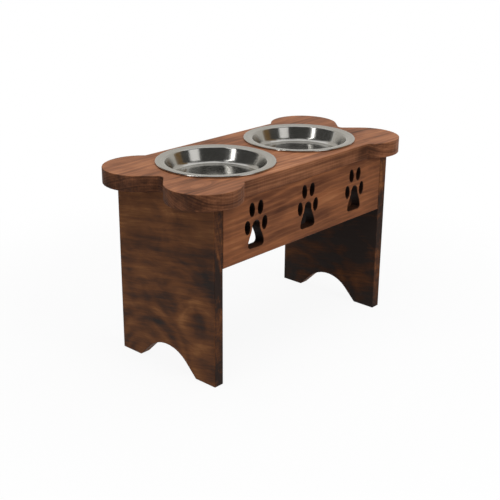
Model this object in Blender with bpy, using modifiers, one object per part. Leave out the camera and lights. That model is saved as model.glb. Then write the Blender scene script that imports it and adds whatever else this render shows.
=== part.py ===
"""A raised wooden pet feeder.

A bone-shaped top board lies on two board legs with arched feet. A front rail with three paw-print
cut-outs and a plain back rail join the legs. Two steel bowls hang by their rims in round holes and
lift out. Corner blocks, side cleats and countersunk screws hold the boards together from inside.

Metres, +Z up. The length runs along X, the front faces -Y and the feet stand on Z = 0.
"""

import math

import bmesh
import bpy
from mathutils import Matrix, Vector

# Fits
GAP = 0.0003
BOWL_PLAY = 0.001

# Boards
BOARD = 0.019
EASED = 0.001
EASED_STEPS = 2

# Bowls
BOWL_RIM_RADIUS = 0.101
BOWL_ROLL = 0.0016
BOWL_FLANGE = 0.0155
BOWL_FLANGE_FALL = 0.0014
BOWL_SHOULDER = 0.0025
BOWL_DEPTH = 0.032
BOWL_TAPER = 12.0
BOWL_CORNER = 0.011
BOWL_STEEL = 0.0009

# Where the bowls sit: rim to rim, rim to the front of the base, rim to the end of the base
RIM_SPACE = 0.015
RIM_TO_FRONT = 0.011
RIM_TO_END = 0.0185

# Top board
TOP_THICKNESS = 0.027
LOBE_RADIUS = 0.063
LOBE_PAST_END = 0.0455
LOBE_PAST_FRONT = 0.024
EDGE_OVERHANG = 0.0022
NOTCH_OVERHANG = 0.0032
NOTCH_RADIUS = 0.010
SHOULDER_RADIUS = 0.004

# Legs
LEG_HEIGHT = 0.308
FOOT_WIDTH = 0.0447
ARCH_HEIGHT = 0.0412
ARCH_SLOPE = 45.0

# Rails
RAIL_HEIGHT = 0.106
PAW_COUNT = 3
PAW_SPACING = 0.1315
PAW_ABOVE_MIDDLE = 0.00235
PAW_EASED = 0.0005
PAD_HEIGHT = 0.046
PAD_HALF_WIDTH = 0.0187
PAD_NECK = 0.0087
PAD_CORNER = 0.006
TOE_HALF_WIDTH = 0.0064
TOE_HALF_HEIGHT = 0.0122
TOE_TILT = 4.0
INNER_TOE = (0.0100, 0.0655)
OUTER_TOE = (0.0204, 0.0373)

# Corner blocks, which stop short of the rail's lower edge, and cleats
BLOCK = 0.019
BLOCK_CLEAR = 0.014
CLEAT_WIDTH = 0.015
CLEAT_HEIGHT = 0.019

# Screws, and how far they bite past the piece that they go through
SCREW_BITE = 0.0107
SCREW_RADIUS = 0.0018
SCREW_HEAD_RADIUS = 0.0035
SCREW_HEAD_HEIGHT = 0.0020
SCREW_TIP = 0.004
SCREW_SIDES = 8
SCREW_FROM_BLOCK_FOOT = 0.020
SCREW_FROM_BLOCK_TOP = 0.026
SCREW_STAGGER = 0.011
CLEAT_LEG_SCREW_Y = 0.025
SCREW_FROM_CLEAT_END = 0.0174

# Roundness: the largest turn between two points of an outline, on wide, narrow and tiny arcs
WIDE_STEP = 10.0
NARROW_STEP = 15.0
TINY_STEP = 30.0
TOE_POINTS = 16
BOWL_SIDES = 36

# Sizes that follow from the ones above
BOWL_X = BOWL_RIM_RADIUS + RIM_SPACE / 2
BASE_HALF_LENGTH = BOWL_X + BOWL_RIM_RADIUS + RIM_TO_END
BASE_HALF_DEPTH = BOWL_RIM_RADIUS + RIM_TO_FRONT
TOP_UNDERSIDE = LEG_HEIGHT + GAP
TOP_SURFACE = TOP_UNDERSIDE + TOP_THICKNESS
BOWL_MOUTH_RADIUS = BOWL_RIM_RADIUS - BOWL_FLANGE
BOWL_HOLE_RADIUS = BOWL_MOUTH_RADIUS + BOWL_STEEL + BOWL_PLAY
BLOCK_X = BASE_HALF_LENGTH - BOARD - GAP - BLOCK / 2
BLOCK_Y = BASE_HALF_DEPTH - BOARD - GAP - BLOCK / 2
BLOCK_HEIGHT = RAIL_HEIGHT - BLOCK_CLEAR
BLOCK_FOOT = LEG_HEIGHT - BLOCK_HEIGHT
CLEAT_X = BASE_HALF_LENGTH - BOARD - GAP - CLEAT_WIDTH / 2
CLEAT_LENGTH = 2 * (BLOCK_Y - BLOCK / 2 - GAP)
PAW_HEIGHT = INNER_TOE[1] + TOE_HALF_HEIGHT

SIDES = (("left", -1), ("right", 1))
ENDS = (("front", -1), ("back", 1))


# Points and outlines


def arc(centre, radius, start, end, step=WIDE_STEP):
    """Points from one angle to another, in degrees, both ends included."""
    steps = max(2, math.ceil(abs(end - start) / step))
    angles = [math.radians(start + (end - start) * i / steps) for i in range(steps + 1)]
    return [(centre[0] + radius * math.cos(a), centre[1] + radius * math.sin(a)) for a in angles]


def ellipse(centre, half_width, half_height, tilt):
    """A closed ellipse whose long axis leans by tilt degrees."""
    turn = math.radians(tilt)
    points = []
    for i in range(TOE_POINTS):
        a = 2 * math.pi * i / TOE_POINTS
        x, y = half_width * math.cos(a), half_height * math.sin(a)
        points.append((
            centre[0] + x * math.cos(turn) - y * math.sin(turn),
            centre[1] + x * math.sin(turn) + y * math.cos(turn),
        ))
    return points


def rounded_corner(before, corner, after, radius, step):
    """An arc of this radius that replaces the corner of a path."""
    towards_before = (Vector(before) - Vector(corner)).normalized()
    towards_after = (Vector(after) - Vector(corner)).normalized()
    half = towards_before.angle(towards_after) / 2
    centre = Vector(corner) + (towards_before + towards_after).normalized() * radius / math.sin(half)
    first = Vector(corner) + towards_before * radius / math.tan(half) - centre
    last = Vector(corner) + towards_after * radius / math.tan(half) - centre
    start = math.degrees(math.atan2(first.y, first.x))
    sweep = math.degrees(math.atan2(first.cross(last), first.dot(last)))
    return arc(centre, radius, start, start + sweep, step)


def bone_outline():
    """The top board from above: straight long edges and four round lobes with a notch at each end."""
    edge = BASE_HALF_DEPTH + EDGE_OVERHANG
    lobe = Vector((
        BASE_HALF_LENGTH + LOBE_PAST_END - LOBE_RADIUS,
        BASE_HALF_DEPTH + LOBE_PAST_FRONT - LOBE_RADIUS,
    ))

    # A small hollow corner joins the long edge to the lobe.
    reach = LOBE_RADIUS + SHOULDER_RADIUS
    rise = edge + SHOULDER_RADIUS - lobe.y
    shoulder = Vector((lobe.x - math.sqrt(reach**2 - rise**2), edge + SHOULDER_RADIUS))
    shoulder_turn = math.degrees(math.atan2(shoulder.y - lobe.y, shoulder.x - lobe.x))

    # The notch is a hollow between two lobes, with straight sides where the lobes leave room.
    reach = LOBE_RADIUS + NOTCH_RADIUS
    closest = lobe.x + math.sqrt(max(0.0, reach**2 - lobe.y**2))
    notch = Vector((max(BASE_HALF_LENGTH + NOTCH_OVERHANG + NOTCH_RADIUS, closest), 0.0))
    across = notch - lobe
    lean = math.degrees(math.acos(min(1.0, reach / across.length)))
    side_turn = math.degrees(math.atan2(across.y, across.x)) + lean

    quarter = arc(shoulder, SHOULDER_RADIUS, -90.0, shoulder_turn - 180.0, NARROW_STEP)
    quarter += arc(lobe, LOBE_RADIUS, shoulder_turn, side_turn)
    quarter += arc(notch, NOTCH_RADIUS, side_turn + 180.0, 180.0)
    half = quarter + [(x, -y) for x, y in reversed(quarter[:-1])]
    return half + [(-x, -y) for x, y in half]


def leg_outline():
    """A leg from the side: a board with an arch between its two feet, sloped then rounded at the crown."""
    foot = BASE_HALF_DEPTH - FOOT_WIDTH
    slope = math.radians(ARCH_SLOPE)
    crown = (foot * math.sin(slope) - ARCH_HEIGHT * math.cos(slope)) / (1 - math.cos(slope))
    arch = arc((0.0, ARCH_HEIGHT - crown), crown, 90.0 + ARCH_SLOPE, 90.0 - ARCH_SLOPE)
    return [
        (-BASE_HALF_DEPTH, 0.0),
        (-foot, 0.0),
        *arch,
        (foot, 0.0),
        (BASE_HALF_DEPTH, 0.0),
        (BASE_HALF_DEPTH, LEG_HEIGHT),
        (-BASE_HALF_DEPTH, LEG_HEIGHT),
    ]


def paw_outlines(x):
    """The five openings of one paw print: a bell-shaped pad with four toes over it."""
    base = LEG_HEIGHT - RAIL_HEIGHT / 2 + PAW_ABOVE_MIDDLE - PAW_HEIGHT / 2
    crown = base + PAD_HEIGHT - PAD_NECK
    hip = base + PAD_CORNER
    flare = [
        (PAD_NECK + (PAD_HALF_WIDTH - PAD_NECK) * (1 - math.cos(math.pi * t)) / 2, crown + (hip - crown) * t)
        for t in (0.2, 0.4, 0.6, 0.8)
    ]
    right = flare + arc((PAD_HALF_WIDTH - PAD_CORNER, hip), PAD_CORNER, 0.0, -90.0, NARROW_STEP)
    left = [(-px, pz) for px, pz in reversed(right)]
    pad = arc((0.0, crown), PAD_NECK, 180.0, 0.0, NARROW_STEP) + right + left
    loops = [[(x + px, pz) for px, pz in pad]]
    for side in (-1, 1):
        for across, up in (INNER_TOE, OUTER_TOE):
            centre = (x + side * across, base + up)
            loops.append(ellipse(centre, TOE_HALF_WIDTH, TOE_HALF_HEIGHT, -side * TOE_TILT))
    return loops


def bowl_profile():
    """The upper face of the bowl's steel, from the middle of the floor out to the rolled rim."""
    rim = (BOWL_RIM_RADIUS - BOWL_ROLL, GAP + BOWL_ROLL)
    flange_top = (rim[0], rim[1] + BOWL_ROLL)
    mouth = (BOWL_MOUTH_RADIUS, flange_top[1] - BOWL_FLANGE_FALL)
    floor = mouth[1] - BOWL_DEPTH
    heel = (BOWL_MOUTH_RADIUS - BOWL_DEPTH * math.tan(math.radians(BOWL_TAPER)), floor)
    centre = (0.0, floor)
    corner = rounded_corner(centre, heel, mouth, BOWL_CORNER, NARROW_STEP)
    shoulder = rounded_corner(heel, mouth, flange_top, BOWL_SHOULDER, TINY_STEP)
    roll = arc(rim, BOWL_ROLL, 90.0, -120.0, TINY_STEP)
    return [centre, (BOWL_MOUTH_RADIUS / 2, floor)] + corner + shoulder + roll


def screw_profile(length, clearance, lead):
    """A countersunk screw, head up. With a clearance it is the screw's hole, which lead opens upwards."""
    head = SCREW_HEAD_RADIUS + 1.5 * clearance
    shank = SCREW_RADIUS + clearance
    top = [(0.0, lead), (head, lead)] if lead else [(0.0, 0.0)]
    return top + [
        (head, 0.0),
        (shank, -SCREW_HEAD_HEIGHT),
        (shank, SCREW_TIP - length),
        (0.0, -length - 3 * clearance),
    ]


# Meshes and objects


def material(name, colour, roughness, metallic=0.0):
    made = bpy.data.materials.new(name)
    made.use_nodes = True
    shader = made.node_tree.nodes["Principled BSDF"]
    shader.inputs["Base Color"].default_value = (*colour, 1.0)
    shader.inputs["Roughness"].default_value = roughness
    shader.inputs["Metallic"].default_value = metallic
    return made


def evaluated_mesh(obj):
    """The object's mesh after its modifiers, with coincident points joined. The object is removed."""
    bpy.context.scene.collection.objects.link(obj)
    graph = bpy.context.evaluated_depsgraph_get()
    mesh = bpy.data.meshes.new_from_object(obj.evaluated_get(graph))
    bpy.data.objects.remove(obj)
    work = bmesh.new()
    work.from_mesh(mesh)
    bmesh.ops.remove_doubles(work, verts=work.verts, dist=0.00001)
    work.to_mesh(mesh)
    work.free()
    return mesh


def add_turning(obj, sides):
    turn = obj.modifiers.new("turned", "SCREW")
    turn.axis = "Z"
    turn.steps = sides
    turn.render_steps = sides
    turn.use_merge_vertices = True
    turn.merge_threshold = 0.00001
    return turn


def profile_mesh(name, profile):
    """A profile of edges in the XZ plane."""
    mesh = bpy.data.meshes.new(name)
    edges = [(i, i + 1) for i in range(len(profile) - 1)]
    mesh.from_pydata([(x, 0.0, z) for x, z in profile], edges, [])
    return mesh


def flat_mesh(name, loops, thickness):
    """A flat board in the XY plane: the first loop is its outline, the others are openings."""
    drawn = bpy.data.curves.new(name, "CURVE")
    drawn.dimensions = "2D"
    drawn.fill_mode = "BOTH"
    drawn.extrude = thickness / 2
    for loop in loops:
        spline = drawn.splines.new("POLY")
        spline.points.add(len(loop) - 1)
        spline.use_cyclic_u = True
        for point, (x, y) in zip(spline.points, loop):
            point.co = (x, y, 0.0, 1.0)
    mesh = evaluated_mesh(bpy.data.objects.new(name, drawn))
    bpy.data.curves.remove(drawn)
    return mesh


def box_mesh(name, size):
    work = bmesh.new()
    bmesh.ops.create_cube(work, size=1.0)
    bmesh.ops.scale(work, vec=size, verts=work.verts)
    mesh = bpy.data.meshes.new(name)
    work.to_mesh(mesh)
    work.free()
    return mesh


def copies_mesh(name, shape, places):
    """One mesh holding a copy of the shape at each place."""
    work = bmesh.new()
    for place in places:
        before = len(work.verts)
        work.from_mesh(shape)
        work.verts.ensure_lookup_table()
        bmesh.ops.transform(work, matrix=place, verts=work.verts[before:])
    mesh = bpy.data.meshes.new(name)
    work.to_mesh(mesh)
    work.free()
    return mesh


def add_piece(name, mesh, finish, collection, parent, location=(0, 0, 0), rotation=(0, 0, 0)):
    piece = bpy.data.objects.new(name, mesh)
    mesh.materials.clear()
    mesh.materials.append(finish)
    mesh.shade_smooth()
    mesh.set_sharp_from_angle(angle=math.radians(20.0))
    piece.location = location
    piece.rotation_euler = [math.radians(angle) for angle in rotation]
    piece.parent = parent
    collection.objects.link(piece)
    return piece


def add_cutter(name, mesh, collection, parent):
    cutter = bpy.data.objects.new(name, mesh)
    cutter.hide_render = True
    cutter.display_type = "WIRE"
    cutter.parent = parent
    collection.objects.link(cutter)
    return cutter


def ease_edges(piece, width, steps):
    """Rounds the edges that a maker sands, and leaves the facets of curved outlines alone."""
    bevel = piece.modifiers.new("eased edges", "BEVEL")
    bevel.limit_method = "ANGLE"
    bevel.angle_limit = math.radians(30.0)
    bevel.width = width
    bevel.segments = steps
    bevel.use_clamp_overlap = False
    bevel.loop_slide = False


def cut(piece, *cutters):
    for cutter in cutters:
        hole = piece.modifiers.new("bores", "BOOLEAN")
        hole.operation = "DIFFERENCE"
        hole.solver = "EXACT"
        hole.object = cutter


def driven(point, direction):
    """The place of a screw whose head is let into the wood at this point, driven in this direction."""
    ahead = Vector(direction)
    turn = (-ahead).to_track_quat("Z", "Y").to_matrix().to_4x4()
    return Matrix.Translation(Vector(point) + ahead * GAP) @ turn


# Sub-parts


def screw_places():
    """Where each group of screws goes in and how long they are, by the group's name."""
    block_screw = BLOCK + GAP + SCREW_BITE
    places = {
        "block_leg_screws": (block_screw, []),
        "block_rail_screws": (block_screw, []),
        "cleat_leg_screws": (CLEAT_WIDTH + GAP + SCREW_BITE, []),
        "cleat_top_screws": (CLEAT_HEIGHT + GAP + SCREW_BITE, []),
    }
    heights = (BLOCK_FOOT + SCREW_FROM_BLOCK_FOOT, LEG_HEIGHT - SCREW_FROM_BLOCK_TOP)
    for _, side in SIDES:
        for _, end in ENDS:
            for height in heights:
                point = (side * (BLOCK_X - BLOCK / 2), end * BLOCK_Y, height)
                places["block_leg_screws"][1].append(driven(point, (side, 0, 0)))
            for height in heights:
                point = (side * BLOCK_X, end * (BLOCK_Y - BLOCK / 2), height + SCREW_STAGGER)
                places["block_rail_screws"][1].append(driven(point, (0, end, 0)))
            inner_x = side * (CLEAT_X - CLEAT_WIDTH / 2)
            point = (inner_x, end * CLEAT_LEG_SCREW_Y, LEG_HEIGHT - CLEAT_HEIGHT / 2)
            places["cleat_leg_screws"][1].append(driven(point, (side, 0, 0)))
            across = end * (CLEAT_LENGTH / 2 - SCREW_FROM_CLEAT_END)
            point = (side * CLEAT_X, across, LEG_HEIGHT - CLEAT_HEIGHT)
            places["cleat_top_screws"][1].append(driven(point, (0, 0, 1)))
    return places


def make_screws(finish, collection, parent, cutters):
    """The screws, which share a mesh in each group. Returns each group's holes, by the group's name."""
    holes = {}
    for name, (length, places) in screw_places().items():
        screw = turned("screw", screw_profile(length, 0.0, 0.0), SCREW_SIDES)
        for number, place in enumerate(places, 1):
            add_piece(f"{name[:-1]}_{number}", screw, finish, collection, parent).matrix_local = place
        hole = turned("screw_hole", screw_profile(length, GAP, SCREW_HEAD_HEIGHT), SCREW_SIDES)
        holes[name] = add_cutter(name + "_holes", copies_mesh(name + "_holes", hole, places), cutters, parent)
    return holes


def turned(name, profile, sides):
    """A mesh turned from this profile."""
    obj = bpy.data.objects.new(name, profile_mesh(name, profile))
    add_turning(obj, sides)
    return evaluated_mesh(obj)


def make_top(wood, collection, parent, holes):
    loops = [bone_outline()]
    for _, side in SIDES:
        loops.append(arc((side * BOWL_X, 0.0), BOWL_HOLE_RADIUS, 0.0, 360.0)[:-1])
    top = add_piece("top_board", flat_mesh("top_board", loops, TOP_THICKNESS), wood, collection, parent,
                    (0, 0, TOP_UNDERSIDE + TOP_THICKNESS / 2))
    ease_edges(top, EASED, EASED_STEPS)
    cut(top, holes["cleat_top_screws"])


def make_legs(wood, collection, parent, holes):
    for name, side in SIDES:
        mesh = flat_mesh(name + "_leg", [leg_outline()], BOARD)
        leg = add_piece(name + "_leg", mesh, wood, collection, parent,
                        (side * (BASE_HALF_LENGTH - BOARD / 2), 0, 0), (90, 0, 90))
        ease_edges(leg, EASED, EASED_STEPS)
        cut(leg, holes["block_leg_screws"], holes["cleat_leg_screws"])


def make_rails(wood, collection, parent, holes, cutters):
    """Two rails between the legs. Paw prints are sawn through the front one."""
    loops = []
    for i in range(PAW_COUNT):
        loops += paw_outlines((i - (PAW_COUNT - 1) / 2) * PAW_SPACING)
    paws = add_cutter("paw_prints", flat_mesh("paw_prints", loops, 2 * BOARD), cutters, parent)
    paws.location = (0, -BASE_HALF_DEPTH + BOARD / 2, 0)
    paws.rotation_euler = (math.radians(90), 0, 0)
    size = (2 * (BASE_HALF_LENGTH - BOARD - GAP), BOARD, RAIL_HEIGHT)
    for name, end in ENDS:
        rail = add_piece(name + "_rail", box_mesh(name + "_rail", size), wood, collection, parent,
                         (0, end * (BASE_HALF_DEPTH - BOARD / 2), LEG_HEIGHT - RAIL_HEIGHT / 2))
        ease_edges(rail, EASED, EASED_STEPS)
        if end < 0:
            cut(rail, paws)
            ease_edges(rail, PAW_EASED, 1)
        cut(rail, holes["block_rail_screws"])


def make_blocks(wood, collection, parent, holes):
    """A block in each corner between leg and rail, and a cleat along the top of each leg."""
    for side_name, side in SIDES:
        for end_name, end in ENDS:
            name = f"{end_name}_{side_name}_block"
            block = add_piece(name, box_mesh(name, (BLOCK, BLOCK, BLOCK_HEIGHT)), wood, collection, parent,
                              (side * BLOCK_X, end * BLOCK_Y, BLOCK_FOOT + BLOCK_HEIGHT / 2))
            cut(block, holes["block_leg_screws"], holes["block_rail_screws"])
        name = side_name + "_cleat"
        size = (CLEAT_WIDTH, CLEAT_LENGTH, CLEAT_HEIGHT)
        cleat = add_piece(name, box_mesh(name, size), wood, collection, parent,
                          (side * CLEAT_X, 0, LEG_HEIGHT - CLEAT_HEIGHT / 2))
        cut(cleat, holes["cleat_leg_screws"], holes["cleat_top_screws"])


def make_bowls(steel, collection, parent):
    for name, side in SIDES:
        mesh = profile_mesh(name + "_bowl", bowl_profile())
        bowl = add_piece(name + "_bowl", mesh, steel, collection, parent, (side * BOWL_X, 0, TOP_SURFACE))
        add_turning(bowl, BOWL_SIDES)
        skin = bowl.modifiers.new("steel sheet", "SOLIDIFY")
        skin.thickness = BOWL_STEEL
        skin.offset = -1.0
        skin.use_even_offset = True


def main():
    for obj in list(bpy.data.objects):
        bpy.data.objects.remove(obj)
    feeder = bpy.data.collections.new("pet_feeder")
    cutters = bpy.data.collections.new("cutters")
    bpy.context.scene.collection.children.link(feeder)
    bpy.context.scene.collection.children.link(cutters)
    stand = bpy.data.objects.new("feeder_base", None)
    feeder.objects.link(stand)

    stained_pine = material("stained_pine", (0.20, 0.09, 0.045), 0.5)
    plain_pine = material("plain_pine", (0.30, 0.17, 0.09), 0.65)
    brushed_steel = material("brushed_steel", (0.62, 0.61, 0.58), 0.25, 1.0)
    zinc_steel = material("zinc_steel", (0.55, 0.53, 0.47), 0.4, 1.0)

    holes = make_screws(zinc_steel, feeder, stand, cutters)
    make_top(stained_pine, feeder, stand, holes)
    make_legs(stained_pine, feeder, stand, holes)
    make_rails(stained_pine, feeder, stand, holes, cutters)
    make_blocks(plain_pine, feeder, stand, holes)
    make_bowls(brushed_steel, feeder, stand)


main()
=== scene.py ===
import math

import bmesh
import bpy
from mathutils import Matrix, Vector


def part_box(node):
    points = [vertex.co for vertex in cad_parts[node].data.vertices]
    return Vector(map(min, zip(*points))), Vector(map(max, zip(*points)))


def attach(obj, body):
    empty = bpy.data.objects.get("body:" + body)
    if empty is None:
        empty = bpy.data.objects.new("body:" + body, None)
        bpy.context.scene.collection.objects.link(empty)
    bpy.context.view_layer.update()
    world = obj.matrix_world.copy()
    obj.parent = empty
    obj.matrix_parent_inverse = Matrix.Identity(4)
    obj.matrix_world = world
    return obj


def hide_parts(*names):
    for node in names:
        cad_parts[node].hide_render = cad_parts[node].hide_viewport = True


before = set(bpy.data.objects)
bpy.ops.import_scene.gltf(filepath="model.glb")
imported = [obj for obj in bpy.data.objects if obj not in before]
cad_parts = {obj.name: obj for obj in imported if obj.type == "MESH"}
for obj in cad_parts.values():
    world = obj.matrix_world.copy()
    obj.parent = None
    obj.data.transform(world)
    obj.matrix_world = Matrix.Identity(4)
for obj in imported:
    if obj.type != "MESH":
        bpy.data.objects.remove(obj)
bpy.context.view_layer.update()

# A raised wooden feeder with two steel bowls, in a light studio. Lengths in metres, angles in degrees.

# The camera, as the photograph was taken. Its three angles are in radians and the sensor in millimetres.
CAMERA_PLACE = (-1.2244, -1.0846, 0.7654)
CAMERA_YAW = 0.8369
CAMERA_PITCH = 0.3609
CAMERA_ROLL = 0.0084
FOCAL_PIXELS = 966.94
FRAME_PIXELS = 500
SENSOR = 36.0

# The bowls, spun from steel sheet. The wall leans outwards by TAPER, and in section the rolled rim turns
# from its top down to ROLL_END.
STEEL = 0.0009
ROLL = 0.0016
ROLL_END = -120.0
FLANGE = 0.0155
FLANGE_FALL = 0.0014
SHOULDER = 0.0035
DEPTH = 0.0255
TAPER = 21.0
CORNER = 0.011
FLOOR_RINGS = 12
BOWL_SIDES = 180
ARC_STEP = 6.0

# Wood: how far the tree's heart lies under a board's face, how wide a growth ring is, how far it sways
# and how much it widens round a swirl
FLAT_HEART = 0.03
RING = 0.005
SWAY = 0.003
SWIRL_SPREAD = 2.2

# Painted shade on a leg's inner face and the colour of painted shade on a hole's walls; the stain's shine
# and the grain's relief
INNER_FACE_PAINTED_SHADE = 0.42
HOLE_WALL_PAINTED_SHADE = (20, 13, 11)
WOOD_SHINE = 0.14
GRAIN_RELIEF = 0.0004

# Where a leg's outer face is
LEG_FACE = 0.228

# Tones of the stain from dark to light, as a screen shows them, and where each lies in the figure
TONE_PLACES = (0.0, 0.28, 0.5, 0.72, 1.0)
TOP_TONES = ((72, 44, 30), (108, 68, 46), (134, 86, 59), (154, 102, 70), (182, 126, 90))
RAIL_TONES = ((66, 38, 25), (104, 62, 40), (130, 81, 53), (151, 94, 60), (176, 116, 76))
LEG_TONES = ((48, 36, 31), (84, 53, 36), (117, 73, 45), (142, 91, 55), (182, 122, 76))
INNER_TONES = ((74, 46, 30), (104, 68, 44), (124, 84, 56), (142, 99, 67), (160, 116, 82))

# Studio: light from all round, the floor's own share of white near the feeder, and what the floor's
# paper shows and bounces
WHITE = (1.0, 1.0, 1.0)
ROOM_LIGHT = 0.07
FLOOR_WHITE = 0.92
FLOOR_PAPER = 0.8
FLOOR_BOUNCE = 0.25
FLOOR_REACH = 12.0
FLOOR_DROP = 0.0002

# The compass direction of the camera on the floor, from +X, and the height that the lamps aim at
TOWARDS_CAMERA = 221.5
AIM_HEIGHT = 0.25


def add_object(name, data):
    made = bpy.data.objects.new(name, data)
    bpy.context.scene.collection.objects.link(made)
    return made


def give_finish(node, finish):
    node.data.materials.clear()
    node.data.materials.append(finish)


# Shader maths


class Wire:
    """An output of a node. Arithmetic on it adds the nodes that do it, for numbers or for vectors."""

    def __init__(self, shop, socket):
        self.shop = shop
        self.socket = socket

    def maths(self, operation, *others):
        wires = [wire for wire in (self, *others) if isinstance(wire, Wire)]
        flat = all(wire.socket.type == "VALUE" for wire in wires)
        kind = "ShaderNodeMath" if flat else "ShaderNodeVectorMath"
        return self.shop.node(kind, {"operation": operation}, dict(enumerate((self, *others))))

    def swapped(self, operation, other):
        kind = "ShaderNodeMath" if self.socket.type == "VALUE" else "ShaderNodeVectorMath"
        return self.shop.node(kind, {"operation": operation}, {0: other, 1: self})

    def __add__(self, other):
        return self.maths("ADD", other)

    def __sub__(self, other):
        return self.maths("SUBTRACT", other)

    def __mul__(self, other):
        return self.maths("MULTIPLY", other)

    def __truediv__(self, other):
        return self.maths("DIVIDE", other)

    def __pow__(self, other):
        return self.maths("POWER", other)

    def __radd__(self, other):
        return self.swapped("ADD", other)

    def __rsub__(self, other):
        return self.swapped("SUBTRACT", other)

    def __rmul__(self, other):
        return self.swapped("MULTIPLY", other)

    def __abs__(self):
        return self.maths("ABSOLUTE")

    def larger(self, other):
        return self.maths("MAXIMUM", other)

    def between(self, low, high):
        """0 below low, 1 above high, and a soft step from one to the other."""
        ends = {"Value": self, "From Min": low, "From Max": high}
        return self.shop.node("ShaderNodeMapRange", {"interpolation_type": "SMOOTHSTEP"}, ends)

    def split(self):
        """The three parts of a vector."""
        parts = self.shop.node("ShaderNodeSeparateXYZ", {}, {0: self}, None)
        return [Wire(self.shop, part) for part in parts.outputs]


class Shop:
    """Where one material is mixed: it adds nodes to the material's tree."""

    def __init__(self, name, tree=None):
        self.material = None
        if tree is None:
            self.material = bpy.data.materials.new(name)
            self.material.use_nodes = True
            tree = self.material.node_tree
        self.tree = tree
        self.tree.nodes.clear()

    def node(self, kind, settings, sockets, output=""):
        """Adds a node: its settings come first, then the values or links of its sockets.

        It gives the output of this name, the first one that is in use, or the node itself for None.
        """
        made = self.tree.nodes.new(kind)
        for name, value in settings.items():
            if name == "stops":
                self.set_stops(made.color_ramp, value)
            else:
                setattr(made, name, value)
        for name, value in sockets.items():
            socket = self.find(made, name)
            if isinstance(value, Wire):
                self.tree.links.new(value.socket, socket)
            else:
                socket.default_value = self.fitted(value, socket)
        if output is None:
            return made
        if output:
            return Wire(self, next(s for s in made.outputs if s.identifier == output))
        return Wire(self, next(s for s in made.outputs if s.enabled))

    def find(self, made, name):
        """An input by its number, its identifier or its name."""
        if isinstance(name, int):
            return made.inputs[name]
        return next(s for s in made.inputs if name in (s.identifier, s.name))

    def fitted(self, value, socket):
        """A value in the form that a socket takes: one number, three, or a colour with its alpha."""
        kind = socket.type
        if kind == "VECTOR" and isinstance(value, (int, float)):
            return (value, value, value)
        if kind == "RGBA" and isinstance(value, (int, float)):
            return (value, value, value, 1.0)
        if kind == "RGBA" and len(value) == 3:
            return (*value, 1.0)
        return value

    def set_stops(self, ramp, stops):
        while len(ramp.elements) > 1:
            ramp.elements.remove(ramp.elements[-1])
        for i, (place, colour) in enumerate(stops):
            stop = ramp.elements[0] if i == 0 else ramp.elements.new(place)
            stop.position = place
            stop.color = (*colour, 1.0)

    def place(self):
        """The point being shaded, in metres on the feeder."""
        return self.node("ShaderNodeTexCoord", {}, {}, "Object")

    def facing(self):
        """The surface's direction."""
        return self.node("ShaderNodeNewGeometry", {}, {}, "Normal")

    def vector(self, x, y, z):
        return self.node("ShaderNodeCombineXYZ", {}, {0: x, 1: y, 2: z})

    def noise(self, at, scale, detail=2.0, rough=0.5, twist=0.0):
        """Soft random spots from 0 to 1, scale of them to a metre."""
        sockets = {"Vector": at, "Scale": scale, "Detail": detail}
        sockets.update({"Roughness": rough, "Distortion": twist})
        return self.node("ShaderNodeTexNoise", {}, sockets)

    def blend(self, share, first, second):
        """A colour that goes from the first to the second with share."""
        sockets = {"Factor_Float": share, "A_Color": first, "B_Color": second}
        return self.node("ShaderNodeMix", {"data_type": "RGBA"}, sockets, "Result_Color")

    def bump(self, height, strength, depth):
        sockets = {"Height": height, "Strength": strength, "Distance": depth}
        return self.node("ShaderNodeBump", {}, sockets)

    def finish(self, **inputs):
        """The surface itself, with the inputs of its shader."""
        named = {}
        for key, value in inputs.items():
            named[key.replace("_", " ").title().replace("Ior", "IOR")] = value
        shader = self.node("ShaderNodeBsdfPrincipled", {}, named)
        return self.surface(shader)

    def surface(self, shader):
        self.node("ShaderNodeOutputMaterial", {}, {"Surface": shader}, None)
        return self.material


def linear(red, green, blue):
    """A colour given as a screen shows it, from 0 to 255, in the light units that a shader mixes."""
    parts = [c / 255 for c in (red, green, blue)]
    return tuple(c / 12.92 if c <= 0.04045 else ((c + 0.055) / 1.055) ** 2.4 for c in parts)


# Wood


def sizes_away(here, place, size):
    """How far the shaded point is from a place, counted in a size that is given along each axis."""
    return ((here - Vector(place)) / Vector(size)).maths("LENGTH")


def closeness(here, place, size):
    """1 at a place, falling softly to 0 over a size that is given along each axis."""
    distance = sizes_away(here, place, size)
    return (distance * distance * -0.5).maths("EXPONENT")


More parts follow.
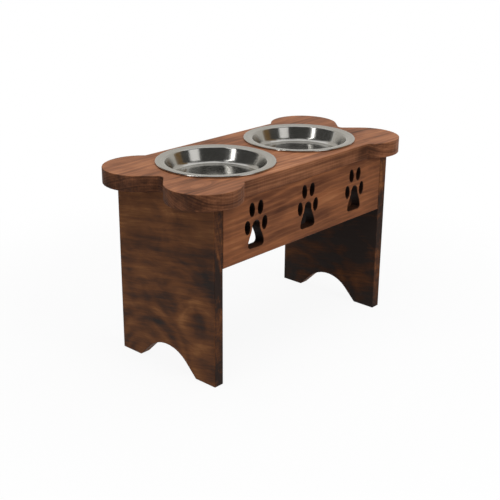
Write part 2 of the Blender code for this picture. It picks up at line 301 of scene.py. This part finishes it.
def board_finish(name, axes, heart, tones, seed, slope=0.0, share=0.5, blotch=0.4, contrast=1.6,
                 hard_line=0.1, swirls=(), marks=(), roughness=0.58, end_shade=0.25, side_shade=0.0,
                 shaded_holes_between=None, inner=0):
    """Stained pine, sawn so that the growth rings lie nearly flat in the board.

    The axes are named in this order: along the grain, across the board's face, through its thickness.
    On the face the rings pass as bands beside the heart line, climb with slope and close round each
    swirl. Share is how steeply the board cuts the rings. The stain sinks into the soft wood, so the hard
    line of each ring stays lighter, and blotch is how unevenly it takes. A swirl is a place, a size, how
    many sizes it reaches, where its light ring is and how far apart its rings are. A mark is a place, a
    size and how much lighter or darker it is. Sawn ends and sides are darker. The walls of holes between
    two places across the board get painted shade, nearly black. Inner is the sign of the direction in
    which a leg's inner face looks, through the thickness; that face gets painted shade, darker.
    """
    shop = Shop(name)
    here = shop.place()
    along_axis, across_axis, deep_axis = ("XYZ".index(axis) for axis in axes)
    parts = here.split()
    run, across, deep = parts[along_axis], parts[across_axis], parts[deep_axis]
    climbing = across + run * slope

    def streaks(stretch, scale, detail, nudge):
        """Random spots, drawn out along the grain."""
        at = shop.vector(run / stretch + seed + nudge, climbing, deep)
        return shop.noise(at, scale, detail, 0.55)

    # Growth rings, as lengths from the heart, and the waves of light and dark round the swirls
    flow = ((across - heart) ** 2.0 + FLAT_HEART ** 2) ** 0.5 + run * slope
    swirl_ring = RING / share * SWIRL_SPREAD
    waves = 0.0
    for place, size, reach, light_at, period in swirls:
        wobble = (shop.noise(here, 9.0, 1.0, 0.5) - 0.5) * 0.5
        distance = sizes_away(here, place, size) + wobble
        inside = 1.0 - distance.between(reach * 0.4, reach)
        level = math.hypot(place[across_axis] - heart, FLAT_HEART) + place[along_axis] * slope
        flow = flow + ((distance - 1.0) * swirl_ring + level - flow) * inside
        wave = ((distance - light_at) * (2 * math.pi / period)).maths("COSINE")
        fading = 1.0 - distance.between(reach * 0.85, reach * 1.15)
        waves = wave * fading * 0.1 + waves
    flow = flow + (streaks(3.0, 16.0, 2.0, 0.0) - 0.5) * (SWAY / share * 3.0)
    radius = flow * share + deep + (streaks(2.5, 70.0, 2.0, 3.1) - 0.5) * (SWAY * 0.6)
    turn = radius / RING
    band = shop.noise(shop.vector(turn, run * 2.0 + seed, across), 0.6, 2.0, 0.6)
    phase = (turn + band * 1.5).maths("FRACT")
    line = phase.between(0.45, 0.85) * (1.0 - phase.between(0.85, 1.0))

    # Fibres, stain and marks
    fibre = streaks(30.0, 1000.0, 3.0, 11.3)
    strand = streaks(14.0, 230.0, 3.0, 7.7)
    streak = streaks(7.0, 60.0, 2.0, 9.1)
    stain = shop.noise(shop.vector(run * 0.6 + seed, across, deep), 26.0, 3.0, 0.55, 0.8)
    patch = shop.noise(shop.vector(run * 0.8 + seed + 5.3, across, deep), 11.0, 2.0, 0.5)
    figure = (band - 0.5) * 0.55 + line * hard_line + (fibre - 0.5) * 0.2 + (strand - 0.5) * 0.3
    figure = figure + (streak - 0.5) * 0.4 + (stain - 0.52) * blotch + (patch - 0.5) * blotch * 1.3
    tone = 0.5 + figure * contrast + waves
    for place, size, amount in marks:
        tone = tone + closeness(here, place, size) * amount

    # Sawn ends and sides, with the cutter's marks through the thickness
    facing = shop.facing().split()
    ends = abs(facing[along_axis]).between(0.5, 0.95)
    sides = 1.0 - abs(facing[deep_axis]).between(0.5, 0.95)
    cutter = shop.noise(shop.vector(run, across, deep * 0.05), 420.0, 2.0, 0.6)
    tone = tone - ends * end_shade - sides * (side_shade + (cutter - 0.5) * 0.3)
    # painted shade: a leg's inner face, shaded by the board above, is painted darker
    if inner:
        painted_inner_shade = (facing[deep_axis] * inner).between(0.5, 0.95)
        tone = tone - painted_inner_shade * INNER_FACE_PAINTED_SHADE

    stops = [(place, linear(*shown)) for place, shown in zip(TONE_PLACES, tones)]
    colour = shop.node("ShaderNodeValToRGB", {"stops": stops}, {"Fac": tone})
    # painted shade: the walls of the holes between these two places are painted nearly black
    if shaded_holes_between:
        low, high = shaded_holes_between
        painted_hole_shade = sides * across.between(low, low + 0.001) * (1.0 - across.between(high - 0.001, high))
        colour = shop.blend(painted_hole_shade * 0.9, colour, linear(*HOLE_WALL_PAINTED_SHADE))
    relief = line * (hard_line * 3.0) + fibre * 0.6 + strand * 0.8
    gloss = roughness + (strand - 0.5) * 0.2 + ends * 0.12
    return shop.finish(base_color=colour, roughness=gloss, specular_ior_level=WOOD_SHINE,
                       normal=shop.bump(relief, 0.2, GRAIN_RELIEF))


def top_board_finish():
    """The bone's own figure: grain along the feeder and a flat swirl in the front left lobe."""
    swirls = [
        ((-0.227, -0.076, 0.335), (0.034, 0.016, 1.0), 1.6, 0.0, 1.7),
    ]
    marks = [
        ((-0.226, -0.078, 0.335), (0.018, 0.008, 0.1), 0.28),
        ((-0.226, -0.104, 0.335), (0.030, 0.006, 0.1), -0.14),
        ((-0.200, -0.050, 0.335), (0.030, 0.005, 0.1), -0.12),
        ((-0.088, -0.062, 0.335), (0.010, 0.005, 0.1), -0.15),
        ((0.150, -0.122, 0.322), (0.014, 0.02, 0.009), -0.35),
    ]
    return board_finish("top_board_stain", "XYZ", 0.02, TOP_TONES, 0.3, share=0.45, swirls=swirls,
                        marks=marks, roughness=0.52, side_shade=0.14, end_shade=0.12)


def front_rail_finish():
    """The front rail's own figure, with painted shade making the paw prints' walls nearly black."""
    marks = [
        ((-0.187, -0.112, 0.270), (0.012, 0.1, 0.016), 0.14),
        ((-0.188, -0.112, 0.218), (0.014, 0.1, 0.010), 0.12),
        ((-0.071, -0.112, 0.276), (0.016, 0.1, 0.006), -0.18),
        ((0.172, -0.112, 0.264), (0.020, 0.1, 0.014), 0.12),
        ((0.062, -0.112, 0.254), (0.030, 0.1, 0.010), 0.10),
    ]
    return board_finish("front_rail_stain_and_painted_shade", "XZY", 0.36, RAIL_TONES, 2.3, slope=0.06, marks=marks,
                        blotch=0.3, shaded_holes_between=(0.212, 0.312))


def leg_finish(name, side):
    """A leg's figure: rings closing above the arch, a knot by the front foot, dark spots; painted light at
    its top, painted shade by the front arris and on its inner face.
    """
    face = side * LEG_FACE
    swirls = [
        ((face, 0.050, 0.0), (1.0, 0.1, 0.1), 1.2, 0.997, 0.26),
        ((face, -0.075, 0.103), (1.0, 0.05, 0.042), 1.2, 0.86, 0.86),
    ]
    marks = [
        ((face, -0.075, 0.101), (0.1, 0.011, 0.016), -0.46),
        ((face, -0.081, 0.200), (0.1, 0.011, 0.012), -0.18),
        ((face, -0.096, 0.186), (0.1, 0.007, 0.012), -0.12),
        ((face, 0.086, 0.136), (0.1, 0.010, 0.025), -0.20),
        ((face, 0.045, 0.120), (0.1, 0.012, 0.010), -0.16),
        ((face, 0.020, 0.080), (0.1, 0.030, 0.006), -0.22),
        ((face, -0.012, 0.060), (0.1, 0.008, 0.012), -0.16),
        ((face, -0.045, 0.256), (0.1, 0.020, 0.009), -0.16),
        ((face, 0.085, 0.204), (0.1, 0.022, 0.010), -0.12),
        ((face, -0.007, 0.228), (0.1, 0.010, 0.012), 0.14),
        ((face, -0.013, 0.281), (0.1, 0.010, 0.010), 0.12),
        ((face, -0.075, 0.138), (0.1, 0.012, 0.009), 0.16),
        ((face, -0.031, 0.128), (0.1, 0.007, 0.025), 0.10),
        ((face, -0.073, 0.045), (0.1, 0.009, 0.022), 0.14),
        # painted shade: a dark line on the outer face along the front arris
        ((face, -0.108, 0.110), (0.1, 0.005, 0.070), -0.14),
        # painted light: the top of the leg is lighter, to offset the shadow that the board above casts
        ((face, 0.000, 0.290), (0.1, 0.150, 0.050), 0.24),
        ((face, 0.040, 0.160), (0.1, 0.080, 0.040), -0.10),
    ]
    return board_finish(name, "YZX", -0.2, LEG_TONES, 6.3 + side, slope=0.17, share=0.2, blotch=0.5,
                        contrast=1.9, hard_line=0.0, swirls=swirls, marks=marks, side_shade=0.04,
                        inner=-side)


def make_wood():
    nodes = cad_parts
    give_finish(nodes["top_board"], top_board_finish())
    give_finish(nodes["front_rail"], front_rail_finish())
    back = board_finish("back_rail_stain", "XZY", 0.33, RAIL_TONES, 4.3, slope=-0.05, blotch=0.35)
    give_finish(nodes["back_rail"], back)
    give_finish(nodes["left_leg"], leg_finish("left_leg_stain_and_painted_light", -1))
    give_finish(nodes["right_leg"], leg_finish("right_leg_stain_and_painted_light", 1))
    block = board_finish("inner_wood", "ZXY", 0.4, INNER_TONES, 1.3, roughness=0.65)
    cleat = board_finish("cleat_wood", "YZX", 0.5, INNER_TONES, 5.1, roughness=0.65)
    for name, node in nodes.items():
        if name.endswith("_block"):
            give_finish(node, block)
        if name.endswith("_cleat"):
            give_finish(node, cleat)


# Steel


def arc(centre, radius, start, end):
    """Points from one angle to another, both ends included."""
    steps = max(2, math.ceil(abs(end - start) / ARC_STEP))
    angles = [math.radians(start + (end - start) * i / steps) for i in range(steps + 1)]
    return [(centre[0] + radius * math.cos(a), centre[1] + radius * math.sin(a)) for a in angles]


def rounded_corner(before, corner, after, radius):
    """An arc of this radius that replaces the corner of a path."""
    towards_before = (Vector(before) - Vector(corner)).normalized()
    towards_after = (Vector(after) - Vector(corner)).normalized()
    half = towards_before.angle(towards_after) / 2
    middle = (towards_before + towards_after).normalized()
    centre = Vector(corner) + middle * radius / math.sin(half)
    first = Vector(corner) + towards_before * radius / math.tan(half) - centre
    last = Vector(corner) + towards_after * radius / math.tan(half) - centre
    start = math.degrees(math.atan2(first.y, first.x))
    sweep = math.degrees(math.atan2(first.cross(last), first.dot(last)))
    return arc(centre, radius, start, start + sweep)


def bowl_profile(rim_radius, rim_top):
    """The upper face of the steel, from the middle of the floor out to the rolled rim."""
    rim = (rim_radius - ROLL, rim_top - ROLL)
    flange_top = (rim[0], rim_top)
    mouth = (rim_radius - FLANGE, rim_top - FLANGE_FALL)
    floor = mouth[1] - DEPTH
    heel = (mouth[0] - DEPTH * math.tan(math.radians(TAPER)), floor)
    corner = rounded_corner((0.0, floor), heel, mouth, CORNER)
    shoulder = rounded_corner(heel, mouth, flange_top, SHOULDER)
    inner = [(corner[0][0] * i / FLOOR_RINGS, floor) for i in range(FLOOR_RINGS)]
    return inner + corner + shoulder + arc(rim, ROLL, 90.0, ROLL_END)


def steel_finish(floor):
    """Spun steel, brushed in circles. The bowl's floor, at this height, is polished."""
    shop = Shop("spun_steel")
    x, y, z = shop.place().split()
    radius = (x * x + y * y) ** 0.5
    lathe = shop.noise(shop.vector(radius, z * 1.7, 0.0), 1400.0, 3.0, 0.6)
    wide = shop.noise(shop.vector(radius, z, 0.2), 160.0, 2.0, 0.5)
    smear = shop.noise(shop.place(), 26.0, 3.0, 0.55)
    darker, lighter = linear(178, 176, 171), linear(205, 203, 198)
    colour = shop.blend(wide * 0.5 + smear * 0.5, darker, lighter)
    polish = 1.0 - z.between(floor + 0.0005, floor + 0.002)
    gloss = 0.21 + (lathe - 0.5) * 0.05 + (smear - 0.5) * 0.06 - polish * 0.11
    return shop.finish(base_color=colour, metallic=1.0, roughness=gloss, anisotropic=0.9,
                       anisotropic_rotation=0.25, normal=shop.bump(lathe, 0.02, 0.00005))


def turned(name, profile):
    """A mesh turned round its own upright axis from a profile that starts on the axis."""
    mesh = bpy.data.meshes.new(name)
    work = bmesh.new()
    turns = [2 * math.pi * i / BOWL_SIDES for i in range(BOWL_SIDES)]
    middle = work.verts.new((0.0, 0.0, profile[0][1]))
    rings = []
    for radius, height in profile[1:]:
        rings.append([work.verts.new((radius * math.cos(a), radius * math.sin(a), height)) for a in turns])
    for i in range(BOWL_SIDES):
        after = (i + 1) % BOWL_SIDES
        work.faces.new((middle, rings[0][i], rings[0][after]))
        for inner, outer in zip(rings, rings[1:]):
            work.faces.new((inner[i], outer[i], outer[after], inner[after]))
    for face in work.faces:
        face.smooth = True
    work.to_mesh(mesh)
    work.free()
    return mesh


def make_bowls():
    """A spun bowl for each bowl of the model. Its origin is on the bowl's axis, at the foot."""
    low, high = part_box("left_bowl")
    finish = steel_finish(high.z - low.z - FLANGE_FALL - DEPTH)
    for name in ("left_bowl", "right_bowl"):
        low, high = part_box(name)
        centre = (low + high) / 2
        mesh = turned(name + "_spun", bowl_profile((high.x - low.x) / 2, high.z - low.z))
        mesh.materials.append(finish)
        bowl = add_object(name + "_spun", mesh)
        bowl.location = (centre.x, centre.y, low.z)
        skin = bowl.modifiers.new("steel sheet", "SOLIDIFY")
        skin.thickness = STEEL
        skin.offset = -1.0
        skin.use_even_offset = True
        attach(bowl, name)
        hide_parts(name)


def make_screws():
    shop = Shop("zinc_plate")
    smear = shop.noise(shop.place(), 900.0, 2.0, 0.5)
    colour = shop.blend(smear, linear(176, 172, 160), linear(214, 210, 198))
    finish = shop.finish(base_color=colour, metallic=1.0, roughness=0.3 + smear * 0.15)
    for name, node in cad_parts.items():
        if "_screw_" in name:
            give_finish(node, finish)


# The studio


def heading(degrees, distance, height):
    """A place at this compass direction and distance from the middle of the feeder."""
    angle = math.radians(degrees)
    return Vector((distance * math.cos(angle), distance * math.sin(angle), height))


def seen_in_picture(shop):
    """1 for what the camera sees, straight or in a reflection, and 0 for the light that falls on things."""
    path = shop.node("ShaderNodeLightPath", {}, {}, None)
    rays = ("Is Camera Ray", "Is Glossy Ray", "Is Transmission Ray")
    straight, mirrored, through = (Wire(shop, path.outputs[name]) for name in rays)
    return straight.larger(mirrored).larger(through)


def make_floor():
    """A white floor that keeps a faint shadow, and fades into the backdrop."""
    shop = Shop("floor_paper")
    seen = seen_in_picture(shop)
    x, y, z = shop.place().split()
    far = ((x * x + y * y) ** 0.5).between(0.35, 0.9)
    paper_colour = shop.blend(seen, FLOOR_BOUNCE, FLOOR_PAPER)
    paper = shop.node("ShaderNodeBsdfDiffuse", {}, {"Color": paper_colour})
    glow = shop.node("ShaderNodeEmission", {}, {"Color": WHITE, "Strength": 1.0})
    share = seen * (FLOOR_WHITE + far * (1.0 - FLOOR_WHITE))
    finish = shop.surface(shop.node("ShaderNodeMixShader", {}, {0: share, 1: paper, 2: glow}))
    mesh = bpy.data.meshes.new("floor")
    work = bmesh.new()
    bmesh.ops.create_grid(work, x_segments=1, y_segments=1, size=FLOOR_REACH)
    work.to_mesh(mesh)
    work.free()
    mesh.materials.append(finish)
    floor = add_object("floor", mesh)
    floor.location.z = -FLOOR_DROP


def make_world():
    world = bpy.data.worlds.new("studio")
    world.use_nodes = True
    bpy.context.scene.world = world
    shop = Shop("studio", world.node_tree)
    strength = ROOM_LIGHT + seen_in_picture(shop) * (1.0 - ROOM_LIGHT)
    glow = shop.node("ShaderNodeBackground", {}, {"Color": WHITE, "Strength": strength})
    shop.node("ShaderNodeOutputWorld", {}, {"Surface": glow}, None)


def add_softbox(name, direction, distance, height, size, power):
    """A lamp that lights the feeder and that no reflection shows."""
    light = bpy.data.lights.new(name, "AREA")
    light.shape = "RECTANGLE"
    light.size, light.size_y = size
    light.energy = power
    box = add_object(name, light)
    box.location = heading(direction, distance, height)
    aim = Vector((0.0, 0.0, AIM_HEIGHT)) - box.location
    box.rotation_euler = aim.to_track_quat("-Z", "Y").to_euler()
    box.visible_camera = False
    box.visible_glossy = False


def make_lights():
    add_softbox("front_softbox", TOWARDS_CAMERA + 52.0, 1.9, 1.2, (0.9, 1.0), 20.0)
    add_softbox("left_fill", TOWARDS_CAMERA - 46.0, 2.2, 0.9, (1.2, 1.0), 6.5)
    add_softbox("overhead", TOWARDS_CAMERA, 0.2, 2.1, (2.2, 2.2), 40.0)


def add_screen(name, path, profile, colour, strength=1.0):
    """A screen that only reflections see, on a path of floor points.

    Each row of its profile is a share of the way from the middle of the feeder to the path, and a height.
    """
    shop = Shop(name + "_cloth")
    glow = {"Color": colour, "Strength": strength}
    finish = shop.surface(shop.node("ShaderNodeEmission", {}, glow))
    mesh = bpy.data.meshes.new(name)
    work = bmesh.new()
    rows = []
    for share, height in profile:
        rows.append([work.verts.new((x * share, y * share, height)) for x, y in path])
    for lower, upper in zip(rows, rows[1:]):
        for i in range(len(path) - 1):
            work.faces.new((lower[i], lower[i + 1], upper[i + 1], upper[i]))
    work.to_mesh(mesh)
    work.free()
    mesh.materials.append(finish)
    screen = add_object(name, mesh)
    screen.visible_camera = False
    screen.visible_diffuse = False
    screen.visible_shadow = False


def round_path(start, end, distance):
    """Floor points from one compass direction to another at this distance."""
    steps = max(1, round(abs(end - start) / ARC_STEP))
    return [heading(start + (end - start) * i / steps, distance, 0.0).xy for i in range(steps + 1)]


def make_room():
    """What the bowls mirror: a dark room on the camera's side, whose roof slopes in.

    In it stand a narrow strip of light beyond the feeder's left end, a soft one in front of the feeder
    and a brown door to the right of that. The light sweep behind the feeder is darker than white.
    """
    dark, brown, sweep = (0.058, 0.058, 0.056), (0.2, 0.12, 0.045), (0.62, 0.6, 0.56)
    wall = ((1.0, 0.0), (1.0, 1.2))
    add_screen("dark_room", round_path(110.0, 314.5, 0.95), (*wall, (0.2, 1.6)), dark)
    add_screen("brown_door", [(0.6, -0.61), (0.55, -0.22)], wall, brown)
    leaning = ((0.99, 0.05), (0.99, 1.15), (0.5, 1.4))
    add_screen("narrow_strip", [(-0.9, 0.09), (-0.9, -0.02)], leaning, WHITE, 5.0)
    add_screen("soft_strip", [(-0.12, -0.66), (0.2, -0.66)], ((1.0, 0.3), (1.0, 0.95)), WHITE, 1.2)
    add_screen("light_sweep", round_path(-48.0, 112.0, 2.0), ((1.0, 0.45), (1.0, 2.4)), sweep)


def make_camera():
    """The camera looks along the photograph's line of sight."""
    turn, dip = CAMERA_YAW, CAMERA_PITCH
    right = Vector((math.cos(turn), -math.sin(turn), 0.0))
    ahead = Vector((math.sin(turn) * math.cos(dip), math.cos(turn) * math.cos(dip), -math.sin(dip)))
    up = right.cross(ahead)
    tilted_right = right * math.cos(CAMERA_ROLL) + up * math.sin(CAMERA_ROLL)
    tilted_up = up * math.cos(CAMERA_ROLL) - right * math.sin(CAMERA_ROLL)
    lens = bpy.data.cameras.new("camera")
    lens.sensor_width = SENSOR
    lens.lens = FOCAL_PIXELS * SENSOR / FRAME_PIXELS
    camera = add_object("camera", lens)
    aimed = Matrix((tilted_right, tilted_up, ahead * -1.0)).transposed().to_4x4()
    camera.matrix_world = Matrix.Translation(CAMERA_PLACE) @ aimed
    bpy.context.scene.camera = camera


def main():
    bpy.context.scene.view_settings.view_transform = "Standard"
    make_camera()
    make_world()
    make_floor()
    make_lights()
    make_room()
    make_wood()
    make_bowls()
    make_screws()


main()
